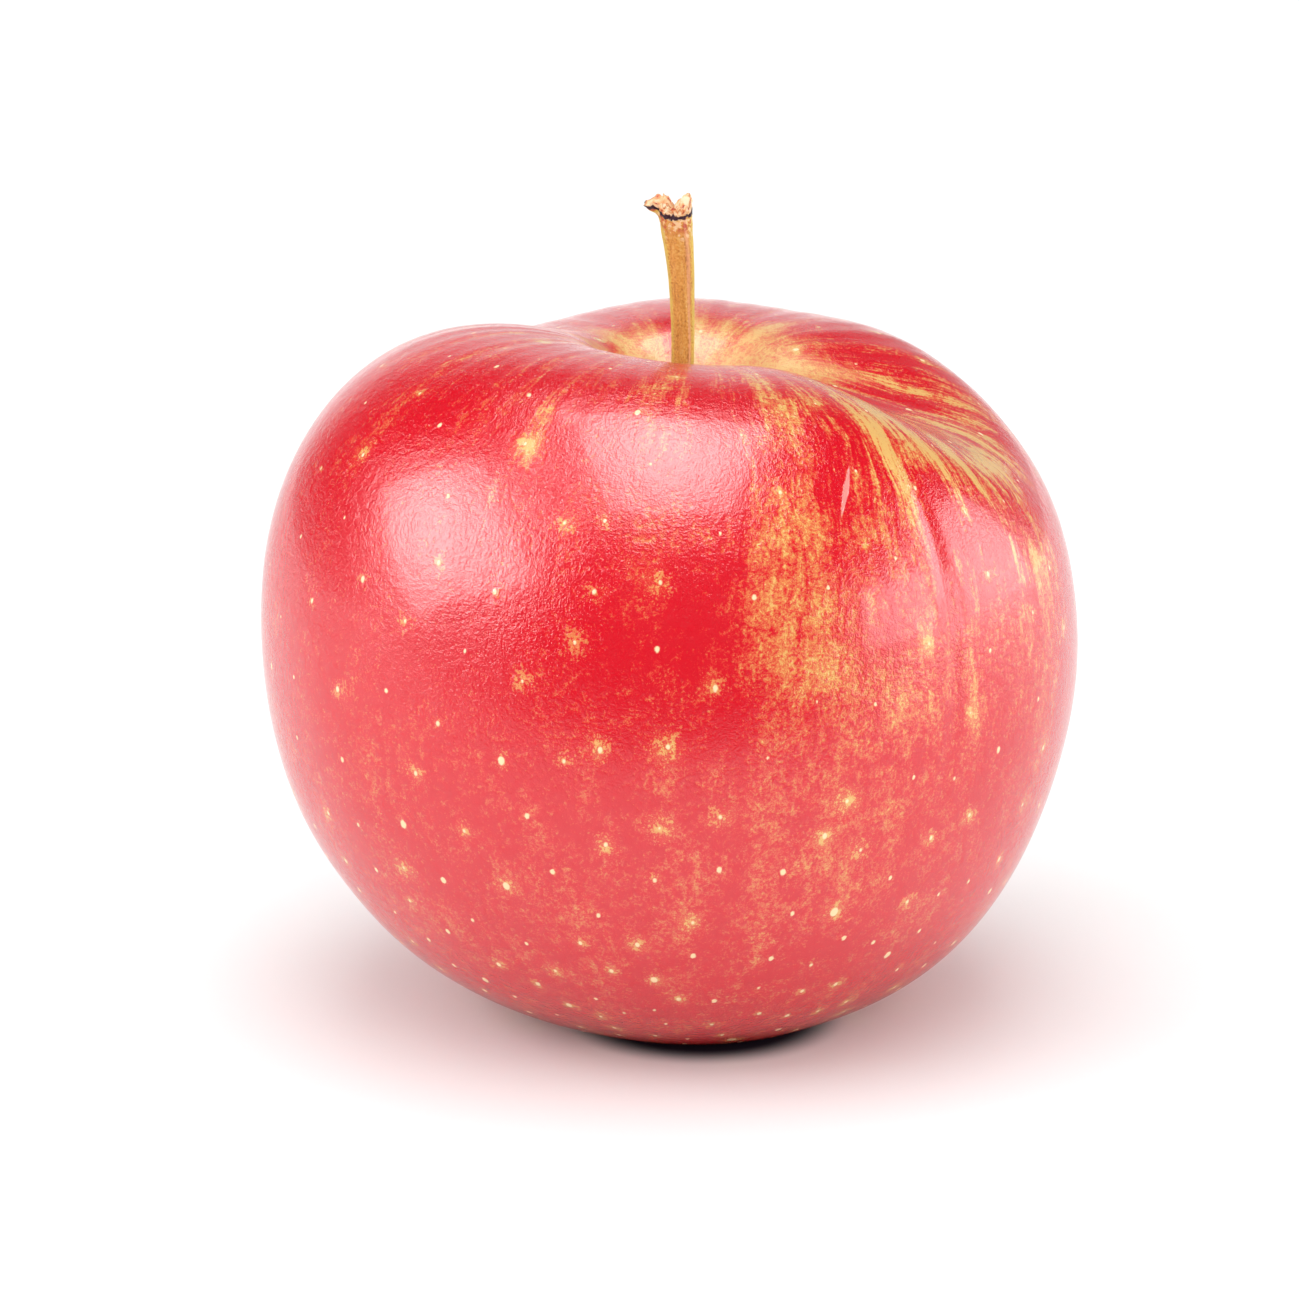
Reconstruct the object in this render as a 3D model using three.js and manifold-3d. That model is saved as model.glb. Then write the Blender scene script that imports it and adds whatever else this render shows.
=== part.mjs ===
// A red dessert apple as it is picked: the fruit, its woody stem, and the dried rest of its flower,
// five sepals around a tuft of stamens, in the basin underneath.
// Millimetres, +Z up, the front towards -Y. The origin is the middle of the apple's box, on the ground.
import * as THREE from "three";
import { mergeVertices } from "three/addons/utils/BufferGeometryUtils.js";
import Module from "manifold-3d";

// Driving dimensions of the fruit.
const GIRTH_RADIUS = 40.5; // plain body, before the lobes
const GIRTH_FULLNESS = { second: 0.036, third: 0.023 }; // broader shoulders, tapered lower half
const MIDDLE_HEIGHT = 36.4; // plane of the plain body's middle
const HALF_HEIGHT = 39.6;
const HEIGHT_FULLNESS = { second: 0.014, third: -0.01 };
const CAVITY = { depth: 10.1, reach: 20.8 }; // the wide bowl that the stem stands in
const FUNNEL = { depth: 11, reach: 6 }; // its narrow middle
const BASIN = { depth: 12.5, reach: 6.1 }; // the hollow of the flower end
const PIT = { depth: 2.5, reach: 2.2 }; // the small tube in the middle of the basin
const SHOULDER_SPREAD = 0.6; // radians that one shoulder covers to each side
const SHOULDER_RADIUS = 23.1; // distance of the shoulders' crest from the axis
const FOOT_RADIUS = 20; // distance of the lower lobes from the axis
const LOBING = { shoulder: 0.021, foot: 0.028, girth: 0.015 }; // shares of the radius
const VALLEY_SOFTNESS = 0.3;
const VALLEY_RISE = -0.12;
const TILT = { sideways: 0.24, back: 0.27 }; // slant of the axis at the top
const BOW = 2.6; // bend of the axis towards +X at both ends
const TOP_SLOPE = -0.036; // the crown falls towards +X

// Five lobes, one for each chamber of seeds. The crown is uneven: rise is the height of each shoulder.
const LOBE_STEP = THREE.MathUtils.degToRad(72);
const FIRST_LOBE = THREE.MathUtils.degToRad(-154);
const SHOULDER_RISES = [0.1, -0.4, -6.9, -2, -4.2];

// Driving dimensions of the stem: a gentle curve and its radius along the way.
const STEM_SOCKET = { floor: 47.5, radius: 1.75 };
const STEM_GAP = 0.3;
const STEM_ROUTE = [
  [0.65, 0.1, STEM_SOCKET.floor + STEM_GAP],
  [0.65, 0.1, 53],
  [1.2, 0.05, 59],
  [1.65, 0, 65],
  [1.6, 0, 70],
  [1.4, 0, 74.8],
  [0.9, 0, 78.8],
  [0.3, 0, 81],
];
const STEM_RADII = [1.4, 1.35, 1.15, 1.08, 1.15, 1.3, 1.6, 2.15];
const STEM_FLATNESS = 0.05;

// Driving dimensions of the dried flower, measured from its own seat in the basin.
const SEPAL_COUNT = 5;
const SEPAL = { root: 3.6, waist: 2.9, width: 1.5, thickness: 0.22, drop: 4.2 };
const SEPAL_FLARES = [3.3, 2.4, 3.8, 2.8, 3.4]; // how far each tip curls outwards
const SEPAL_SEAT = 4.9; // height of the sepals' roots
const TUFT = { top: 11.6, bottom: 6, root: 0.45, brush: 1.15, ribs: 5, ribDepth: 0.12 };

const FRUIT_SIDES = 72;
const FRUIT_RINGS = 42;
const POLE_CROWDING = 0.55; // rings lie closer together towards both ends
const STEM_SIDES = 14;
const STEM_STEPS = 22;
const SEPAL_SIDES = 10;
const SEPAL_STEPS = 9;

const SKIN = { color: 0xd8343c, roughness: 0.3, metalness: 0 };
const BARK = { color: 0xb98a4c, roughness: 0.75, metalness: 0 };
const DRY_LEAF = { color: 0x7a6347, roughness: 0.9, metalness: 0 };
const DRY_THREAD = { color: 0x4b3524, roughness: 0.95, metalness: 0 };

const bell = (distance, reach) => Math.exp(-((distance / reach) ** 2));

// A hump that is nothing on the axis, 1 at its crest, and fades outwards.
function crest(distance, radius) {
  const square = (distance / radius) ** 2;
  return square * Math.exp(1 - square);
}

// How far the skin stands out at an azimuth: rounded lobes with soft valleys between them.
function lobe(azimuth) {
  const wave = Math.cos((SEPAL_COUNT / 2) * (azimuth - FIRST_LOBE));
  return Math.hypot(wave, VALLEY_SOFTNESS) - 0.7;
}

// Height of the uneven crown at an azimuth.
function crownRise(azimuth) {
  return SHOULDER_RISES.reduce((sum, rise, index) => {
    const turn = azimuth - FIRST_LOBE - index * LOBE_STEP;
    const nearest = Math.atan2(Math.sin(turn), Math.cos(turn));
    return sum + rise * bell(nearest, SHOULDER_SPREAD);
  }, VALLEY_RISE * lobe(azimuth));
}

// A point of the skin. The polar angle runs from 0 at the stem to pi at the flower end.
function skinPoint(polar, azimuth) {
  const sine = Math.sin(polar);
  const upper = 1 / (1 + Math.exp(6 * (polar - Math.PI / 2)));
  const lower = 1 - upper;
  const radius = GIRTH_RADIUS * (sine
    + GIRTH_FULLNESS.second * Math.sin(2 * polar)
    + GIRTH_FULLNESS.third * Math.sin(3 * polar));
  const shoulder = upper * crest(radius, SHOULDER_RADIUS);
  const foot = lower * crest(radius, FOOT_RADIUS);
  let height = MIDDLE_HEIGHT + HALF_HEIGHT * (Math.cos(polar)
    + HEIGHT_FULLNESS.second * Math.cos(2 * polar)
    + HEIGHT_FULLNESS.third * Math.cos(3 * polar));
  height -= upper * (CAVITY.depth * bell(radius, CAVITY.reach) + FUNNEL.depth * bell(radius, FUNNEL.reach));
  height += lower * (BASIN.depth * bell(radius, BASIN.reach) + PIT.depth * bell(radius, PIT.reach));
  height += shoulder * crownRise(azimuth);
  const swell = LOBING.shoulder * shoulder + LOBING.foot * foot + LOBING.girth * sine;
  const lobed = radius * (1 + swell * lobe(azimuth));
  const across = lobed * Math.cos(azimuth);
  const level = height / MIDDLE_HEIGHT - 1;
  const x = across + TILT.sideways * level + BOW * level ** 2;
  const y = lobed * Math.sin(azimuth) + TILT.back * level;
  const z = height + upper * TOP_SLOPE * across;
  return new THREE.Vector3(x, y, Math.max(z, 0));
}

const middleOf = (ring) => ring
  .reduce((sum, point) => sum.add(point), new THREE.Vector3())
  .divideScalar(ring.length);

// A closed body through a stack of rings of points, from the top down. Each end closes on a point of its own.
function closedBody(rings, top = middleOf(rings[0]), bottom = middleOf(rings.at(-1))) {
  const sides = rings[0].length;
  const points = [...rings.flat(), top, bottom];
  const index = [];
  for (let ring = 0; ring < rings.length - 1; ring += 1) {
    for (let side = 0; side < sides; side += 1) {
      const here = ring * sides + side;
      const next = ring * sides + ((side + 1) % sides);
      index.push(here, here + sides, next + sides);
      index.push(here, next + sides, next);
    }
  }
  const last = (rings.length - 1) * sides;
  const start = points.length - 2;
  for (let side = 0; side < sides; side += 1) {
    const next = (side + 1) % sides;
    index.push(start, side, next);
    index.push(start + 1, last + next, last + side);
  }
  const geometry = new THREE.BufferGeometry().setFromPoints(points);
  geometry.setIndex(index);
  geometry.computeVertexNormals();
  return geometry;
}

// Angles of the sides of a ring, once round.
const turnsOf = (sides) => Array.from({ length: sides }, (_, side) => (2 * Math.PI * side) / sides);

// Steps from 0 to 1, both ends included.
const stepsOf = (count) => Array.from({ length: count + 1 }, (_, step) => step / count);

// A manifold-3d solid of a closed geometry, whose corners are first made to share their vertices.
function toSolid(wasm, geometry) {
  const bare = geometry.clone();
  bare.deleteAttribute("normal");
  bare.deleteAttribute("uv");
  const shared = mergeVertices(bare, 1e-3);
  return new wasm.Manifold(new wasm.Mesh({
    numProp: 3,
    vertProperties: new Float32Array(shared.getAttribute("position").array),
    triVerts: new Uint32Array(shared.getIndex().array),
  }));
}

function toGeometry(solid) {
  const mesh = solid.getMesh();
  const geometry = new THREE.BufferGeometry();
  geometry.setAttribute("position", new THREE.BufferAttribute(mesh.vertProperties, 3));
  geometry.setIndex(new THREE.BufferAttribute(mesh.triVerts, 1));
  geometry.computeVertexNormals();
  return geometry;
}

// The fruit: the skin's surface from the cavity down to the basin, with a socket for the stem's foot.
function fruitGeometry(wasm) {
  const rings = [];
  for (let ring = 1; ring < FRUIT_RINGS; ring += 1) {
    const share = ring / FRUIT_RINGS;
    const polar = Math.PI * share - (POLE_CROWDING / 2) * Math.sin(2 * Math.PI * share);
    rings.push(turnsOf(FRUIT_SIDES).map((azimuth) => skinPoint(polar, azimuth)));
  }
  const socketHeight = 12;
  const shaft = new THREE.CylinderGeometry(
    STEM_SOCKET.radius, STEM_SOCKET.radius, socketHeight, STEM_SIDES);
  shaft.rotateX(Math.PI / 2);
  shaft.translate(STEM_ROUTE[0][0], STEM_ROUTE[0][1], STEM_SOCKET.floor + socketHeight / 2);
  const flesh = closedBody(rings, skinPoint(0, 0), skinPoint(Math.PI, 0));
  return toGeometry(toSolid(wasm, flesh).subtract(toSolid(wasm, shaft)));
}

// The stem: a slightly flattened twig that flares where it parted from the branch.
function stemGeometry() {
  const route = new THREE.CatmullRomCurve3(STEM_ROUTE.map((point) => new THREE.Vector3(...point)));
  const width = new THREE.SplineCurve(
    STEM_RADII.map((radius, index) => new THREE.Vector2(index / (STEM_RADII.length - 1), radius)));
  const rings = stepsOf(STEM_STEPS).map((share) => {
    const centre = route.getPoint(share);
    const radius = width.getPoint(share).y;
    return turnsOf(STEM_SIDES).map((turn) => new THREE.Vector3(
      centre.x + radius * (1 + STEM_FLATNESS) * Math.cos(turn),
      centre.y + radius * (1 - STEM_FLATNESS) * Math.sin(turn),
      centre.z,
    ));
  });
  return closedBody(rings.reverse());
}

// One dried sepal, seen as a thin blade in the XZ plane: its root stands at the calyx tube's rim, it leans
// in at its waist, and its tip curls outwards.
function sepalGeometry(flare) {
  const rings = stepsOf(SEPAL_STEPS).map((share) => {
    const lean = (SEPAL.root - SEPAL.waist) * Math.sin(Math.PI * share);
    const reach = SEPAL.root - lean + flare * share ** 3;
    const taper = SEPAL.width * (1 - 0.85 * share ** 2);
    return turnsOf(SEPAL_SIDES).map((turn) => new THREE.Vector3(
      reach + SEPAL.thickness * Math.cos(turn),
      taper * Math.sin(turn),
      -SEPAL.drop * share,
    ));
  });
  return closedBody(rings);
}

// The stamens and styles, dried together into one ribbed brush.
function tuftGeometry() {
  const span = TUFT.top - TUFT.bottom;
  const rings = stepsOf(8).map((share) => {
    const radius = TUFT.root + (TUFT.brush - TUFT.root) * Math.sin(0.8 * Math.PI * share);
    return turnsOf(20).map((turn) => {
      const ribbed = radius * (1 + TUFT.ribDepth * Math.cos(TUFT.ribs * turn));
      return new THREE.Vector3(ribbed * Math.cos(turn), ribbed * Math.sin(turn), TUFT.top - span * share);
    });
  });
  return closedBody(rings);
}

function piece(name, geometry, finish) {
  const mesh = new THREE.Mesh(geometry, new THREE.MeshStandardMaterial(finish));
  mesh.name = name;
  return mesh;
}

// The dried flower stands on the fruit's axis, where the skin's lower pole is.
function calyx() {
  const group = new THREE.Group();
  const pole = skinPoint(Math.PI, 0);
  group.position.set(pole.x, pole.y, 0);
  SEPAL_FLARES.forEach((flare, index) => {
    const sepal = piece(`sepal_${index + 1}`, sepalGeometry(flare), DRY_LEAF);
    sepal.position.z = SEPAL_SEAT;
    sepal.rotation.z = FIRST_LOBE + index * LOBE_STEP;
    group.add(sepal);
  });
  group.add(piece("stamen_tuft", tuftGeometry(), DRY_THREAD));
  return group;
}

const wasm = await Module();
wasm.setup();

const apple = new THREE.Group();
apple.add(piece("fruit", fruitGeometry(wasm), SKIN));
apple.add(piece("stem", stemGeometry(), BARK));
apple.add(calyx());

// The origin goes under the middle of the whole apple.
const box = new THREE.Box3().setFromObject(apple);
const centre = box.getCenter(new THREE.Vector3());
apple.children.forEach((child) => {
  child.position.x -= centre.x;
  child.position.y -= centre.y;
  child.position.z -= box.min.z;
});

export default apple;
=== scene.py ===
# %% [markdown]
# A red apple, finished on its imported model
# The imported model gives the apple's size and the places of its stem and flower end. This lesson grows a
# fine skin on that form, with the pores, flecks and streaks of a ripe red apple, and adds a torn woody stem
# and the dried flower underneath. Every surface is a formula in numpy, so each bump is a named value.

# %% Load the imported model
import math

import bpy
import numpy as np
from mathutils import Euler, Matrix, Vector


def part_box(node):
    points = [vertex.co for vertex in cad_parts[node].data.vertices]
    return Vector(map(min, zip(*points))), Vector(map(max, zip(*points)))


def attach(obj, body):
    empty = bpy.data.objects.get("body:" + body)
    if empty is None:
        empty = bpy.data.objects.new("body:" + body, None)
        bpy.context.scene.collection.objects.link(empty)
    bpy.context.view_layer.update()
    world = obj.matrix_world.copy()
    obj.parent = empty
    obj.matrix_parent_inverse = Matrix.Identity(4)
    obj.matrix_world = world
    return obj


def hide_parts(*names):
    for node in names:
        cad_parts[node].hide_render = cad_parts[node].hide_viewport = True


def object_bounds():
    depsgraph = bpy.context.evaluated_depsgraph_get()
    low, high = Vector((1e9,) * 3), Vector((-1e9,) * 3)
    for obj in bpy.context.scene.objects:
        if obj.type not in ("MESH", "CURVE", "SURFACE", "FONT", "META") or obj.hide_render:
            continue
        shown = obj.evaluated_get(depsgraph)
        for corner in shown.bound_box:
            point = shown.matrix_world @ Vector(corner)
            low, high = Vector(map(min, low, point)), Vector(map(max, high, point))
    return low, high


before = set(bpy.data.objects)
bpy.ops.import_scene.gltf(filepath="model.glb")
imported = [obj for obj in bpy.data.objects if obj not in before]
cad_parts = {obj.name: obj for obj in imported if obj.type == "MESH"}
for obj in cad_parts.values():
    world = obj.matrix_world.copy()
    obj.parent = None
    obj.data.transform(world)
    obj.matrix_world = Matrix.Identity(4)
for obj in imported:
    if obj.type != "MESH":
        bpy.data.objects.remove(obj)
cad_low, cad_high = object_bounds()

MM = 0.001
print("packed apple, mm:", [round(side / MM, 1) for side in cad_high - cad_low])

# %% [markdown]
# The camera
# A long lens from a low height shows both the apple's side and the rim of the cavity. The camera comes
# first, because every later choice is judged through it. It looks at a point near the middle of the
# model's box, so it follows the model if the size changes.

# %% Place the camera
LENS = 169.6
CAMERA_DISTANCE = 0.6
CAMERA_HEIGHT_ANGLE = math.radians(15.6)
LOOK_OFFSET = np.array([-1.85, 0.85, -4.75]) * MM

middle = np.array((cad_low + cad_high) / 2)
look_at = middle + LOOK_OFFSET
sight = np.array([0, -math.cos(CAMERA_HEIGHT_ANGLE), math.sin(CAMERA_HEIGHT_ANGLE)])
camera = bpy.data.objects.new("camera", bpy.data.cameras.new("camera"))
camera.data.lens = LENS
camera.data.sensor_width = 36
camera.data.clip_start = 0.01
camera.location = look_at + CAMERA_DISTANCE * sight
camera.rotation_euler = (math.pi / 2 - CAMERA_HEIGHT_ANGLE, 0, 0)
bpy.context.scene.collection.objects.link(camera)
bpy.context.scene.camera = camera
print("camera at, mm:", np.round(np.array(camera.location) / MM))

# %% [markdown]
# Turning arrays into meshes
# Every new piece is a stack of closed rings of points. One helper joins the rings with quads and closes
# both ends on a point, so each piece's own cell holds only its shape.

# %% Mesh helpers
def ring_faces(rows, columns, start=0):
    """Quads between neighbouring rings: corner k of ring i, the next corner, and the two below."""
    row, column = np.meshgrid(np.arange(rows - 1), np.arange(columns), indexing="ij")
    here = start + row * columns + column
    beside = start + row * columns + (column + 1) % columns
    return np.stack([here, here + columns, beside + columns, beside], -1).reshape(-1, 4)


def end_faces(ring_start, columns, point, flip):
    """Triangles from one end ring to the point that closes it."""
    here = ring_start + np.arange(columns)
    beside = ring_start + (np.arange(columns) + 1) % columns
    sides = (beside, here) if flip else (here, beside)
    return np.stack([np.full(columns, point), *sides], -1)


def mesh_object(name, points, quads, triangles):
    """A smooth mesh of the given points, in metres. Its object stays at the origin."""
    mesh = bpy.data.meshes.new(name)
    mesh.from_pydata(points.tolist(), [], quads.tolist() + triangles.tolist())
    mesh.polygons.foreach_set("use_smooth", np.ones(len(mesh.polygons), bool))
    mesh.update()
    made = bpy.data.objects.new(name, mesh)
    bpy.context.scene.collection.objects.link(made)
    return made


def body_from_rings(name, rings, first, last):
    """A closed body through rings of shape (rows, columns, 3), given from the top down, in millimetres."""
    rows, columns = rings.shape[:2]
    points = np.concatenate([rings.reshape(-1, 3), [first], [last]]) * MM
    quads = ring_faces(rows, columns)
    top = end_faces(0, columns, rows * columns, False)
    bottom = end_faces((rows - 1) * columns, columns, rows * columns + 1, True)
    return mesh_object(name, points, quads, np.concatenate([top, bottom]))


def give_attribute(piece, name, values):
    """Stores one number, or one vector, for each vertex."""
    kind, key = ("FLOAT_VECTOR", "vector") if values.ndim == 2 else ("FLOAT", "value")
    layer = piece.data.attributes.new(name, kind, "POINT")
    layer.data.foreach_set(key, np.ascontiguousarray(values, np.float32).ravel())


def finish_piece(piece, slot, material, *nodes):
    """The piece rides on the apple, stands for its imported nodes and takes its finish."""
    piece.data.materials.append(material)
    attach(piece, "root")
    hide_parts(*nodes)
    print(piece.name, "has", len(piece.data.polygons), "faces")


# %% [markdown]
# The form of the fruit
# An apple is a sphere pulled in at both poles. Its half section is a circle with a little of the second
# and third harmonic, which broadens the shoulders and tapers the lower half. Bell-shaped wells make the
# cavity and the basin of the flower end. Five lobes swell around it, one for each seed chamber, and the
# shoulders stand at uneven heights, as they do when one side of the flower was pollinated better. The
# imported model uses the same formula, so the fine skin lies on the same form.

# %% Profile of the fruit
# Lengths are in millimetres, and a well is a depth and a reach.
GIRTH_RADIUS = 40.5
GIRTH_FULLNESS = (0.036, 0.023)
MIDDLE_HEIGHT = 36.4
HALF_HEIGHT = 39.6
HEIGHT_FULLNESS = (0.014, -0.01)
CAVITY_WELLS = [(10.1, 20.8), (11, 6)]
BASIN_WELLS = [(12.5, 6.1), (2.5, 2.2)]
SHOULDER_RADIUS = 23.1
FOOT_RADIUS = 20


def bell(distance, reach):
    """1 at distance 0 and falling to both sides: e to the power of minus (distance / reach) squared."""
    return np.exp(-(distance / reach) ** 2)


def soft_step(value, place, width):
    """0 well below a place and 1 well above it: 1 / (1 + e^(-(value - place) / width))."""
    return 1 / (1 + np.exp(-(value - place) / width))


def wells(radius, sizes):
    """How deep the wells round the axis are: the sum of depth times bell(radius, reach)."""
    return sum(depth * bell(radius, reach) for depth, reach in sizes)


def crest(distance, radius):
    """A hump that is 0 on the axis and 1 at radius: q e^(1-q), with q the square of distance / radius."""
    square = (distance / radius) ** 2
    return square * np.exp(1 - square)


def turn_between(angle, other):
    """The signed angle from one direction to another, at most half a turn."""
    return np.arctan2(np.sin(angle - other), np.cos(angle - other))


# %% Lobes
LOBES = 5
FIRST_LOBE = math.radians(-154)
LOBE_STEP = 2 * math.pi / LOBES
LOBE_MEAN = 0.7
VALLEY_SOFTNESS = 0.3
VALLEY_RISE = -0.12
SHOULDER_SPREAD = 0.6
SHOULDER_RISES = [0.1, -0.4, -6.9, -2, -4.2]


def lobe(azimuth):
    """Rounded lobes: the size of cos(half the lobes times the angle), its zeros softened into valleys."""
    return np.hypot(np.cos(LOBES / 2 * (azimuth - FIRST_LOBE)), VALLEY_SOFTNESS) - LOBE_MEAN


def crown_rise(azimuth):
    """The crown's height in mm: each shoulder adds its own rise, spread as a bell."""
    rise = VALLEY_RISE * lobe(azimuth)
    for number, height in enumerate(SHOULDER_RISES):
        centre = FIRST_LOBE + number * LOBE_STEP
        rise = rise + height * bell(turn_between(azimuth, centre), SHOULDER_SPREAD)
    return rise


# %% The fruit's surface
SHOULDER_LOBING = 0.021
FOOT_LOBING = 0.028
GIRTH_LOBING = 0.015
TILT_SIDEWAYS = 0.24
TILT_BACK = 0.27
BOW = 2.6
CROWN_SLOPE = -0.036


def harmonics(wave, polar, fullness):
    """The sine or cosine of the polar angle, plus shares of its second and third harmonic."""
    second, third = fullness
    return wave(polar) + second * wave(2 * polar) + third * wave(3 * polar)


def form_point(polar, azimuth):
    """The plain form, in mm. Polar is 0 at the stem and pi at the flower end; azimuth -90 degrees is front.

    The radius is the girth times sin(polar) and the height the half height times cos(polar), both with
    harmonics. Wells sink into both ends, lobes widen the radius, and the axis slants and bows with height.
    """
    sine = np.sin(polar)
    lower = soft_step(polar, math.pi / 2, 1 / 6)
    upper = 1 - lower
    radius = GIRTH_RADIUS * harmonics(np.sin, polar, GIRTH_FULLNESS)
    shoulder = upper * crest(radius, SHOULDER_RADIUS)
    foot = lower * crest(radius, FOOT_RADIUS)
    height = MIDDLE_HEIGHT + HALF_HEIGHT * harmonics(np.cos, polar, HEIGHT_FULLNESS)
    height = height - upper * wells(radius, CAVITY_WELLS) + lower * wells(radius, BASIN_WELLS)
    height = height + shoulder * crown_rise(azimuth)
    lobing = SHOULDER_LOBING * shoulder + FOOT_LOBING * foot + GIRTH_LOBING * sine
    lobed = radius * (1 + lobing * lobe(azimuth))
    across = lobed * np.cos(azimuth)
    level = height / MIDDLE_HEIGHT - 1
    x = across + TILT_SIDEWAYS * level + BOW * level ** 2
    y = lobed * np.sin(azimuth) + TILT_BACK * level
    z = height + CROWN_SLOPE * upper * across
    return np.stack([x, y, z], -1)


# %% [markdown]
# Growing the skin
# A real skin isn't as smooth as the formula. It has shallow dents where the flesh grew unevenly, a crease
# in each valley between two lobes, fine ridges that run into the cavity, and puckers round the dried
# flower. Each is a height of less than half a millimetre along the surface normal, so the apple keeps its
# size.

# %% Relief of the skin
DENT_WAVES = 28
DENT_HEIGHT = 0.075
DENT_LENGTHS = (11, 30)
MIDDLE_DENT_LENGTH = 20
CREASE_DEPTHS = [0.02, 0.3, 0.12, 0.08, 0.15]
CREASE_WIDTH = 0.022
RIDGE_HEIGHT = 0.018
PUCKER_HEIGHT = 0.28


def unit(vectors):
    """Vectors divided by their own lengths."""
    return vectors / np.maximum(np.linalg.norm(vectors, axis=-1, keepdims=True), 1e-9)


def soft_dents(points, seed=7):
    """A sum of plane sine waves in all directions; the longer a wave, the higher it stands."""
    random = np.random.default_rng(seed)
    directions = unit(random.normal(size=(DENT_WAVES, 3)))
    lengths = random.uniform(*DENT_LENGTHS, DENT_WAVES)
    phases = random.uniform(0, 2 * math.pi, DENT_WAVES)
    waves = np.sin(2 * math.pi * points @ (directions / lengths[:, None]).T + phases)
    return DENT_HEIGHT * (waves * (lengths / MIDDLE_DENT_LENGTH)).sum(-1) / math.sqrt(DENT_WAVES / 2)


def creases(polar, azimuth):
    """A narrow bell of a groove in each valley, which sways a little and is deepest above the girth."""
    groove = np.zeros(np.broadcast(polar, azimuth).shape)
    for number, depth in enumerate(CREASE_DEPTHS):
        valley = FIRST_LOBE + (number + 0.47) * LOBE_STEP + 0.02 * np.sin(5 * polar + number)
        groove -= depth * bell(turn_between(azimuth, valley), CREASE_WIDTH) * bell(polar - 1.2, 0.36)
    return groove


def crown_ridges(polar, azimuth):
    """31 and 47 waves round the shoulders, unevenly spaced, which fade like a bell down the sides."""
    waves = np.sin(31 * azimuth + 3 * np.sin(2 * azimuth))
    waves = waves + np.sin(47 * azimuth + 2 * np.sin(3 * azimuth + 1))
    return RIDGE_HEIGHT * waves * bell(polar - 0.5, 0.22)


def puckers(polar, azimuth):
    """A knob for each lobe, with 15 and 22 finer waves, in a ring round the dried flower."""
    knobs = np.cos(LOBES * (azimuth - FIRST_LOBE))
    knobs = knobs + 0.45 * np.cos(15 * azimuth + 1) + 0.3 * np.cos(22 * azimuth)
    return PUCKER_HEIGHT * knobs * bell(polar - 2.97, 0.085)


# %% Build the skin
SIDES = 512
RINGS = 186
POLE_CROWDING = 0.275

turns = 2 * math.pi * np.arange(SIDES) / SIDES
share = np.arange(1, RINGS) / RINGS
polars = math.pi * share - POLE_CROWDING * np.sin(2 * math.pi * share)
azimuth, polar = np.meshgrid(turns, polars)
form = form_point(polar, azimuth)

fruit_low, fruit_high = (np.array(corner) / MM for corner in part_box("fruit"))
plain_low, plain_high = form.reshape(-1, 3).min(0), form.reshape(-1, 3).max(0)
shift = (fruit_low + fruit_high - plain_low - plain_high) / 2
shift[2] = 0
print("formula against packed fruit, mm:", np.round(plain_high - plain_low - fruit_high + fruit_low, 2))


def normals_of(points):
    """Outward unit normals of the ring grid, from the cross product of its two directions."""
    down = np.gradient(points, axis=0)
    onward = np.roll(points, -1, 1) - np.roll(points, 1, 1)
    return unit(np.cross(down, onward))


normals = normals_of(form)
relief = soft_dents(form) * np.sin(polar) ** 2
relief += creases(polar, azimuth) + crown_ridges(polar, azimuth) + puckers(polar, azimuth)
skin = form + normals * relief[..., None] + shift
skin[..., 2] = np.maximum(skin[..., 2], 0)
poles = form_point(np.array([0, math.pi]), np.zeros(2)) + shift
fruit = body_from_rings("apple_skin", skin, *poles)
print("relief, mm:", round(relief.min(), 2), "to", round(relief.max(), 2))

# %% [markdown]
# Where the marks are
# The skin's pattern follows the way an apple grows: streaks run from pole to pole and crowd together in
# the cavity. So the material needs a map of those directions, and a flat one would show a seam. Here each
# vertex carries its place on a cylinder, in millimetres, as wide as the girth and as long as the way along
# the skin.

# %% Map of the skin
ROLL_RADIUS = 40


def with_poles(values, top, bottom):
    """Values of all rings in one list, followed by those of the two points that close them."""
    flat = values.reshape(-1, *values.shape[2:])
    return np.concatenate([flat, [top], [bottom]])


steps = np.linalg.norm(np.diff(form[:, 0], axis=0), axis=-1)
along = np.concatenate([[0], np.cumsum(steps)])[:, None] + 0 * azimuth
rolled = np.stack([ROLL_RADIUS * np.cos(azimuth), ROLL_RADIUS * np.sin(azimuth), -along], -1)
give_attribute(fruit, "skin_map", with_poles(rolled, [0, 0, 0], [0, 0, -along.max()]))
print("from pole to pole, mm:", round(along.max(), 1))
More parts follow.
